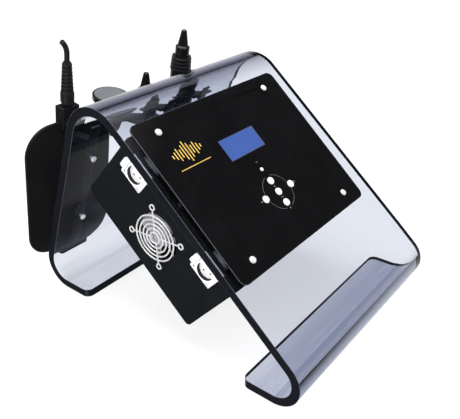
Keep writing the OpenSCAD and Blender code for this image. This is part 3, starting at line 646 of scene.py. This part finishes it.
def build_stand():
    """The bent sheet as one closed mesh, with rounded ends and an opening for the control box."""
    rows = []
    for p, n in stand_stations():
        if not rows or (p - rows[-1][0]).length > 1e-4:
            rows.append((p, n))
    bm = bmesh.new()
    left_wall, right_wall = (1 + SHEET_DIVISIONS.index(x) for x in (-CUTOUT_HALF, CUTOUT_HALF))
    columns = len(SHEET_DIVISIONS) + 1
    grid = []
    total = len(rows)
    for i, (p, n) in enumerate(rows):
        inset = 0.0
        if i < total / 4 and p.y < 1e-6:
            inset = corner_inset(LIP / 2 - p.x)
        elif i > total * 3 / 4 and p.y < 1e-6:
            inset = corner_inset(p.x - (BACK_C.x - FOOT))
        q = p - n * SHEET_T
        outer, inner = [], []
        for x in [LEFT + inset] + SHEET_DIVISIONS + [right_edge(p.x) - inset]:
            outer.append(bm.verts.new((x * MM, p.x * MM, p.y * MM)))
            inner.append(bm.verts.new((x * MM, q.x * MM, q.y * MM)))
        grid.append((outer, inner, in_cutout(p)))

    # Cut edges take the second material, near-black painted shade.
    def edge(a, b, c, d):
        bm.faces.new((a, b, c, d)).material_index = 1

    cuts = [False] + [cut for _, _, cut in grid] + [False]
    for row, ((o0, i0, cut0), (o1, i1, cut1)) in enumerate(zip(grid, grid[1:])):
        opening = cut0 and cut1
        for k in range(columns):
            if opening and left_wall <= k < right_wall:
                if not cuts[row]:
                    edge(o0[k], o0[k + 1], i0[k + 1], i0[k])
                if not cuts[row + 3]:
                    edge(o1[k], o1[k + 1], i1[k + 1], i1[k])
                continue
            bm.faces.new((o0[k], o0[k + 1], o1[k + 1], o1[k]))
            bm.faces.new((i0[k], i1[k], i1[k + 1], i0[k + 1]))
        for k in (0, columns) + ((left_wall, right_wall) if opening else ()):
            edge(o0[k], o1[k], i1[k], i0[k])
    for outer, inner, _ in (grid[0], grid[-1]):
        for k in range(columns):
            edge(outer[k], outer[k + 1], inner[k + 1], inner[k])
    ob = finish_mesh("stand_sheet", bm, [ACRYLIC, ACRYLIC_EDGE_SHADE, ACRYLIC_BEVEL_HIGHLIGHT], "unit", 50)
    # The rounded borders of the edges take the third material, a painted highlight line.
    bevel(ob, 0.9, 2, 60, mat=2)
    stand_in(ob, "acrylic_stand")


build_stand()

# ---------------------------------------------------------------- front panel
# The panel's rounded edges take a lighter material, a painted highlight line.
dress("front_panel", PANEL, 0.35, edge_highlight=PANEL_EDGE_HIGHLIGHT)
dress("lcd_window", DISPLAY, 0.15)
dress("lcd_module", STEEL)
dress("display_board", GREEN)
dress("board_spacers", NYLON)
dress("tact_switches", DARK)
dress("led_indicator", LED)

# A button's outline from its stem's end to the middle of its domed top, with corner radii
KEY_PROFILE = [
    (0, -6.9),
    (2, -6.9, 0.2),
    (2, -3, 0.3),
    (KEY_R, -3, 0.3),
    (KEY_R, 2.6, 1.3),
    (2.6, 3.6, 2.5),
    (0, 3.75),
]
KEYS = {
    "up": (0, KEY_DY),
    "down": (0, -KEY_DY),
    "left": (-KEY_DX, 0),
    "right": (KEY_DX, 0),
    "ok": (0, 0),
}
for key, (kx, ky) in KEYS.items():
    m = shift(ON_SLOPE, kx, ky - KEYS_DOWN, 0)
    turned(f"key_{key}", f"button_{key}", KEY_PROFILE, WHITE, f"key_{key}", m, 48)


def flat_marks(name, shapes, z, mat, m):
    """Printed marks: thin raised ink, each shape a closed outline in millimetres."""
    thick = 0.04
    bm = bmesh.new()
    for outline in shapes:
        low = [bm.verts.new((p[0] * MM, p[1] * MM, z * MM)) for p in outline]
        high = [bm.verts.new((p[0] * MM, p[1] * MM, (z + thick) * MM)) for p in outline]
        bm.faces.new(low)
        bm.faces.new(high)
        for i in range(len(outline)):
            j = (i + 1) % len(outline)
            bm.faces.new((low[i], low[j], high[j], high[i]))
    return finish_mesh(name, bm, [mat], "unit", m=m)


def arc_strip(cx, cy, r, w, a0, a1):
    """Outline of a band of width w along an arc, angles in degrees."""
    steps = 24
    outer, inner = [], []
    for k in range(steps + 1):
        a = math.radians(a0 + (a1 - a0) * k / steps)
        outer.append((cx + (r + w / 2) * math.cos(a), cy + (r + w / 2) * math.sin(a)))
        inner.append((cx + (r - w / 2) * math.cos(a), cy + (r - w / 2) * math.sin(a)))
    return outer + inner[::-1]


def bar(cx, cy, w, h):
    """Outline of an upright rectangle round a middle point."""
    return [(cx + i * w / 2, cy + j * h / 2) for i, j in ((-1, -1), (1, -1), (1, 1), (-1, 1))]


def triangle(cx, cy, r, a):
    return [
        (cx + r * math.cos(math.radians(a + t)), cy + r * math.sin(math.radians(a + t)))
        for t in (0, 120, 240)
    ]


def panel_print():
    """Marks round the buttons, and a generic pulse of bars as the ornament."""
    m = ON_SLOPE
    cy = -KEYS_DOWN
    ring = [arc_strip(0, cy, 21.5, 0.45, a + 13, a + 77) for a in (0, 90, 180, 270)]
    marks = ring + [
        triangle(0, cy + KEY_DY - 7.2, 1.7, 90),
        triangle(0, cy - KEY_DY - 7.4, 1.7, -90),
        triangle(-KEY_DX - 7.6, cy, 1.7, 180),
        triangle(KEY_DX + 7.6, cy, 1.7, 0),
        bar(0, cy - 7.2, 4.0, 0.8),
        bar(0, 4.0, 3.2, 0.8),
    ]
    a = flat_marks("panel_marks", marks, PANEL_T, PRINT_GREY, m)
    heights = [4, 9, 15, 10, 18, 25, 18, 10, 15, 9, 4]
    pulse = [bar(-98 + 4.2 * i, 50, 1.5, h) for i, h in enumerate(heights)]
    pulse.append(bar(-77, 33, 46, 0.9))
    b = flat_marks("panel_emblem", pulse, PANEL_T, PRINT_GOLD, m)


panel_print()


def screws(name, node, places, r, shank, length, mat, socket=0.5, h=2.0):
    """Screws with domed heads and hexagon sockets, head outwards along +Z at each place."""
    bm = bmesh.new()
    n = 24
    for m in places:
        loops = []

        def loop(radius, z):
            ring = []
            for i in range(n):
                a = math.tau * i / n
                rr = radius(a) if callable(radius) else radius
                ring.append(bm.verts.new(m @ (Vector((rr * math.cos(a), rr * math.sin(a), z)) * MM)))
            loops.append(ring)

        def hexagon(a):
            k = (a % (math.pi / 3)) - math.pi / 6
            return r * socket * math.cos(math.pi / 6) / math.cos(k)

        for rr, z in ((shank * 0.7, -length), (shank, -length + 0.6), (shank, 0), (r, 0), (r, h * 0.28)):
            loop(rr, z)
        for share, z in ((0.93, 0.55), (0.75, 0.85), (0.58, 0.98)):
            loop(r * share, h * z)
        loop(hexagon, h)
        loop(hexagon, h * 0.5)
        for a, b in zip(loops, loops[1:]):
            for i in range(n):
                j = (i + 1) % n
                bm.faces.new((a[i], a[j], b[j], b[i]))
        bm.faces.new(loops[0])
        bm.faces.new(loops[-1])
    stand_in(finish_mesh(name, bm, [mat], "unit", 32), node)


places = [shift(ON_SLOPE, x, y, PANEL_T) for x in (-SCREW_X, SCREW_X) for y in (-SCREW_Y, SCREW_Y)]
screws("panel_screw_set", "panel_screws", places, 4.0, 1.9, 17.5, SCREW, socket=0.42)

# ---------------------------------------------------------------- control box
# Nodes that keep their CAD mesh: material, and how far their edges are rounded
DRESSED = {
    "box_body": (BOX, 0.3),
    "box_end_left": (BOX, 0.3),
    "box_end_right": (BOX, 0.3),
    "clinch_nuts": (SCREW, 0),
    "fan_guard": (CHROME, 0),
    "fan_frame": (DARK, 0),
    "fan_rotor": (ROTOR, 0),
    "m3_screws": (SCREW, 0),
    "generator_board": (GREEN, 0),
    "board_parts": (DARK, 0.2),
    "board_posts": (BRASS, 0),
    "transformer_core": (IRON, 0.3),
    "transformer_coil": (COPPER, 0.8),
    "heat_sink": (ALUMINIUM, 0),
    "inlet_body": (DARK, 0.3),
    "inlet_pins": (BRASS, 0),
    "switch_body": (DARK, 0.3),
    "switch_rocker": (RED, 0.4),
    "fuse_holder": (DARK, 0.2),
    "fuse_cap": (DARK, 0.4),
}
for node, (mat, edge) in DRESSED.items():
    dress(node, mat, edge)
fan_holes = (-FAN_HOLES / 2, FAN_HOLES / 2)
places = [shift(on_left_end(FAN_Y, FAN_Z), x, y, 0.3) for x in fan_holes for y in fan_holes]
screws("fan_screw_set", "fan_screws", places, 2.05, 1.85, 16.5, BLACK_SCREW, h=0.9)
for s, y in SOCKET_YS.items():
    shade_bore(f"socket_{s}_shell", SOCKET, on_left_end(y, SOCKET_Z), SOCKET_BORE + 0.3)
    socket_face(s, on_left_end(y, SOCKET_Z))
    dress(f"socket_{s}_latch", SOCKET, 0.3)
for h in STATIONS:
    dress(f"holder_{h}", HOLDER, 0.5)
places = [
    shift(ON_LEG, x, -SHEET_T, -d) @ Matrix.Rotation(math.pi / 2, 4, "X")
    for x in STATIONS.values()
    for d in HOLDER_HOLES
]
screws("holder_screw_set", "holder_screws", places, 3.6, 1.9, 13.0, SCREW)

# ---------------------------------------------------------------- plate applicator
PLATE_W, PLATE_L, PLATE_T, PLATE_CORNER = 120.0, 180.0, 4.0, 34.0
PLATE_TOP = -18.0
CONTACT_IN, CONTACT_CORNER = 8.0, 26.0
LEAD_R, LEAD_BEND_R, LEAD_BEND, LEAD_TOP = 3.0, 20.0, 48.0, 60.2
RIBS, RIB_PITCH = 8, 4.4


def plate_applicator():
    body = "plate_applicator"
    upright = on_rack(STATIONS["plate"], PLATE_Y)
    flat = upright @ Matrix.Rotation(math.pi / 2, 4, "X")
    middle = PLATE_TOP - PLATE_L / 2
    half = PLATE_T / 2
    outline = rect(PLATE_W, PLATE_L, PLATE_CORNER, 0, middle, steps=18)
    case = slab("plate_case", outline, -half, half, [MATT], body, flat, edge=1.2)
    stand_in(case, "plate_shell")
    size = PLATE_W - 2 * CONTACT_IN, PLATE_L - 2 * CONTACT_IN
    outline = rect(*size, CONTACT_CORNER, 0, middle, steps=16)
    contact = slab("plate_metal", outline, -half - 0.8, -half - 0.05, [STEEL], body, flat, edge=0.3)
    stand_in(contact, "plate_contact")
    dress("plug_block", GLOSS, 0.9)
    relief = [(0, 0.1), (5.6, 0.1, 0.4), (7.9, 5.2, 0.8), (7.9, 15.9, 0.9), (5.9, 16.0)]
    for i in range(RIBS):
        r = 7.2 - 0.22 * i
        z = 16.1 + RIB_PITCH * i
        neck = 5.5 - 0.15 * i
        relief += [(r, z, 0.35), (r, z + 2.5, 0.6), (neck, z + 2.7), (neck, z + 4.2)]
    relief += [(4.4, 51.6, 0.3), (3.1, 51.6), (0, 51.6)]
    turned("strain_relief_boot", "strain_relief", relief, RUBBER, body, upright, 40, 3)
    path = [(0, 0, 40 + k) for k in range(20)]
    for k in range(1, 17):
        a = math.radians(LEAD_BEND * k / 16)
        path.append((LEAD_BEND_R * (math.cos(a) - 1), 0, LEAD_TOP + LEAD_BEND_R * math.sin(a)))
    stand_in(tube("lead", path, LEAD_R, [RUBBER], body, upright, 24), "cable")


plate_applicator()


# ---------------------------------------------------------------- disc applicator
def disc_applicator():
    body = "disc_applicator"
    m = shift(on_rack(STATIONS["disc"], DISC_Y), 0, 0, -DISC_DROP)
    case = [
        (0, -18),
        (8, -18, 1),
        (19, -8.4, 2),
        (23, -8, 1.2),
        (23, 0, 1.4),
        (20.6, 0, 0.5),
        (20.4, -1.9),
        (0, -1.9),
    ]
    turned("disc_case", "disc_head", case, GLOSS, body, m, 72)
    dress("disc_face", DISC_GREY, 0.2)
    grip = [
        (0, -56),
        (3.4, -56, 0.4),
        (3.9, -50.5),
        (6, -50, 1),
        (9, -42, 3),
        (9, -34, 0.3),
        (8.5, -33.6, 0.3),
        (8.5, -32.6, 0.3),
        (9, -32.2, 0.3),
        (9, -21.4, 1),
        (8, -18.1),
        (0, -18.1),
    ]
    turned("disc_grip", "disc_handle", grip, GLOSS, body, m)


disc_applicator()

# ---------------------------------------------------------------- handpieces
NOSE_LEN, COLLAR_LEN, RING_LEN = 20.5, 15.0, 19.0


def seam(r, z):
    """A shallow groove round a turned grip, with its upper edge at height z."""
    return [(r, z), (r - 0.35, z - 0.3), (r - 0.35, z - 1.2), (r, z - 1.5)]


# Heights of the tips over the rack's axis point, and the bodies' outlines from there, with corner radii
TIPS = {"small": 11.6, "large": 54.7}
BARRELS = {
    "small": [(0, -24), (9, -24, 0.3), (10, -26, 0.5), *seam(10, -32), *seam(10, -99)]
    + [(10, -109, 3), (5, -118.9, 1), (0, -118.9)],
    "large": [(0, 0.1), (12.6, 0.1, 0.3), (13.2, -0.9, 0.3), *seam(13.2, -20), *seam(13.2, -58)]
    + [*seam(13.2, -91), (13.2, -96.4, 0.3), (12.9, -96.9), (0, -96.9)],
}


def nose(tip):
    """Outline of a tapering nose on its collar, the nose's end at height tip."""
    z = tip - NOSE_LEN
    return [
        (0, z - COLLAR_LEN),
        (9.4, z - COLLAR_LEN, 0.6),
        (9.4, z - 2, 0.6),
        (7.1, z - 0.4, 0.8),
        (4.1, z + 16.2, 3),
        (3.6, z + 19.2, 2.6),
        (0.9, tip, 0.6),
        (0, tip),
    ]


def ribbed_ring():
    """Outline of the large handpiece's rubber ring with its four ribs."""
    top = TIPS["large"] - NOSE_LEN - COLLAR_LEN
    pitch = RING_LEN / 4
    outline = [(0, top - RING_LEN), (12.9, top - RING_LEN)]
    for i in range(4):
        z = top - RING_LEN + pitch * i
        r = 14.2 - 0.3 * i
        outline += [(12.9, z + 0.1), (r, z + 0.4, 0.5), (r, z + 3.0, 0.7), (12.6, z + 3.5), (12.6, z + 4.7)]
    return outline + [(9.5, top - 0.05), (0, top - 0.05)]


def handpiece_parts(part, node, outlines, steps):
    for which, outline in outlines.items():
        name, place = f"{which}_{part}", on_rack(STATIONS[which])
        body = f"{which}_handpiece"
        turned(name, f"{which}_{node}", outline, GLOSS, body, place, steps=steps)


handpiece_parts("tip", "nose", {which: nose(tip) for which, tip in TIPS.items()}, 6)
handpiece_parts("barrel", "body", BARRELS, 4)
dress("large_head", STEEL)
m = on_rack(STATIONS["large"])
turned("large_grip", "large_ring", ribbed_ring(), RUBBER, "large_handpiece", m, steps=3)

# ---------------------------------------------------------------- floor, light and camera
# The white sweep seen only in shiny pieces: its direction, cosines of its edge, and heights of its top edge
SWEEP_AT = (0.796, 0.606, 0.0)
SWEEP_EDGE = (0.20, 0.62)
SWEEP_TOP = (0.10, 0.42)
# A reflector low on the left, seen only in shiny round pieces: its direction, cosines of its edge, brightness
WINDOW_AT = (-0.842, -0.205, -0.498)
WINDOW_EDGE = (0.92, 0.97)
WINDOW_GLOW = 1.0
# The lamp overhead as shiny pieces see it: heights of its edge on the sky, brightness
ROOF_EDGE = (0.70, 0.88)
ROOF_GLOW = 3.0


def sweep_light(m, direction):
    """How bright a mirror sees the studio: the white sweep low behind the unit, a dark room elsewhere."""
    part = m.node("ShaderNodeSeparateXYZ")
    m.link(direction, part.inputs[0])
    ahead = m.node("ShaderNodeVectorMath", operation="DOT_PRODUCT")
    ahead.inputs[1].default_value = SWEEP_AT
    m.link(direction, ahead.inputs[0])
    behind = m.ramp(ahead.outputs["Value"], 0.0, 1.0, *SWEEP_EDGE)
    low = m.ramp(part.outputs["Z"], 1.0, 0.0, *SWEEP_TOP)
    both = m.node("ShaderNodeMath", operation="MULTIPLY")
    m.link(behind, both.inputs[0])
    m.link(low, both.inputs[1])
    window = m.node("ShaderNodeVectorMath", operation="DOT_PRODUCT")
    window.inputs[1].default_value = WINDOW_AT
    m.link(direction, window.inputs[0])
    total = m.ramp(both.outputs[0], 0.03, 1.0, 0.0, 1.0)
    for lamp in (
        m.ramp(window.outputs["Value"], 0.0, WINDOW_GLOW, *WINDOW_EDGE),
        m.ramp(part.outputs["Z"], 0.0, ROOF_GLOW, *ROOF_EDGE),
    ):
        add = m.node("ShaderNodeMath", operation="ADD")
        m.link(total, add.inputs[0])
        m.link(lamp, add.inputs[1])
        total = add.outputs[0]
    return total


FLOOR_TONE, FLOOR_GLOW, FLOOR_HALF = 0.3, 0.74, 9.0


def floor():
    """Plain white floor, partly lit from within; shiny pieces see the sweep in it."""
    m = Mat("floor_white", (FLOOR_TONE,) * 3, 0.6)
    m.tone(m.noise(3), 0.003)
    m.b.inputs["Emission Color"].default_value = (1, 1, 1, 1)
    m.b.inputs["Emission Strength"].default_value = FLOOR_GLOW
    m.b.inputs["Specular IOR Level"].default_value = 0.0
    seen = m.node("ShaderNodeEmission")
    geometry = m.node("ShaderNodeNewGeometry")
    away = m.node("ShaderNodeVectorMath", operation="SCALE")
    away.inputs["Scale"].default_value = -1.0
    m.link(geometry.outputs["Incoming"], away.inputs[0])
    m.link(sweep_light(m, away.outputs[0]), seen.inputs["Strength"])
    _, mirror = mirror_ray(m)
    mix = m.node("ShaderNodeMixShader")
    m.link(mirror, mix.inputs[0])
    m.link(m.b.outputs[0], mix.inputs[1])
    m.link(seen.outputs[0], mix.inputs[2])
    m.link(mix.outputs[0], m.out.inputs["Surface"])
    mesh = bpy.data.meshes.new("floor")
    corners = [(i * FLOOR_HALF, j * FLOOR_HALF, 0) for i, j in ((-1, -1), (1, -1), (1, 1), (-1, 1))]
    mesh.from_pydata(corners, [], [(0, 1, 2, 3)])
    mesh.materials.append(m.m)
    ob = bpy.data.objects.new("floor", mesh)
    scene.collection.objects.link(ob)


floor()


def area(name, at, aim, size, power, size_y=None):
    light = bpy.data.lights.new(name, "AREA")
    light.energy = power
    light.shape = "RECTANGLE"
    light.size = size
    light.size_y = size_y or size
    ob = bpy.data.objects.new(name, light)
    ob.location = at
    ob.rotation_mode = "QUATERNION"
    ob.rotation_quaternion = (Vector(aim) - Vector(at)).to_track_quat("-Z", "Y")
    ob.visible_glossy = False
    ob.visible_camera = False
    ob.visible_transmission = False
    scene.collection.objects.link(ob)
    return ob


area("top_box", (0.1, 0.1, 1.6), (0, 0.1, 0), 1.8, 26, size_y=1.2)
area("left_box", (-1.5, -0.5, 0.9), (0, 0.1, 0.1), 1.0, 12)
area("back_strip", (0.6, 1.3, 1.0), (0, 0.2, 0.2), 1.4, 9, size_y=0.25)
area("edge_strip", (-1.5, -0.35, 0.5), (0, 0.25, 0.2), 0.12, 5, size_y=0.9)


class World(Mat):
    """The world's own node tree, with the same helpers."""

    def __init__(self, name):
        self.w = bpy.data.worlds.new(name)
        self.w.use_nodes = True
        self.t = self.w.node_tree
        self.coords = self.node("ShaderNodeTexCoord")


def studio():
    w = World("studio")
    scene.world = w.w
    plain = w.t.nodes["Background"]
    plain.inputs["Color"].default_value = (0.97, 0.98, 1.0, 1)
    path, mirror = mirror_ray(w)
    w.link(w.ramp(path.outputs["Is Diffuse Ray"], 1.05, 0.75, 0.0, 1.0), plain.inputs["Strength"])
    room = w.node("ShaderNodeBackground")
    room.inputs["Color"].default_value = (0.97, 0.97, 1.0, 1)
    w.link(sweep_light(w, w.coords.outputs["Generated"]), room.inputs["Strength"])
    mix = w.node("ShaderNodeMixShader")
    w.link(mirror, mix.inputs[0])
    w.link(plain.outputs[0], mix.inputs[1])
    w.link(room.outputs[0], mix.inputs[2])
    w.link(mix.outputs[0], w.t.nodes["World Output"].inputs["Surface"])


studio()

CAMERA_AT = (-0.5180, -0.2535, 0.4681)
CAMERA_RIGHT = (0.6103, -0.7921, 0.0106)
CAMERA_FORWARD = (0.6955, 0.5293, -0.4860)
CAMERA_LENS, CAMERA_SENSOR = 48.17, 36.0


def add_camera():
    data = bpy.data.cameras.new("camera")
    data.lens = CAMERA_LENS
    data.sensor_width = CAMERA_SENSOR
    data.clip_start = 0.01
    data.clip_end = 60
    camera = bpy.data.objects.new("camera", data)
    right = Vector(CAMERA_RIGHT).normalized()
    forward = Vector(CAMERA_FORWARD).normalized()
    up = right.cross(forward).normalized()
    right = forward.cross(up).normalized()
    rows = [(right[i], up[i], -forward[i], CAMERA_AT[i]) for i in range(3)]
    camera.matrix_world = Matrix(rows + [(0, 0, 0, 1)])
    scene.collection.objects.link(camera)
    scene.camera = camera


add_camera()
scene.view_settings.view_transform = "Standard"
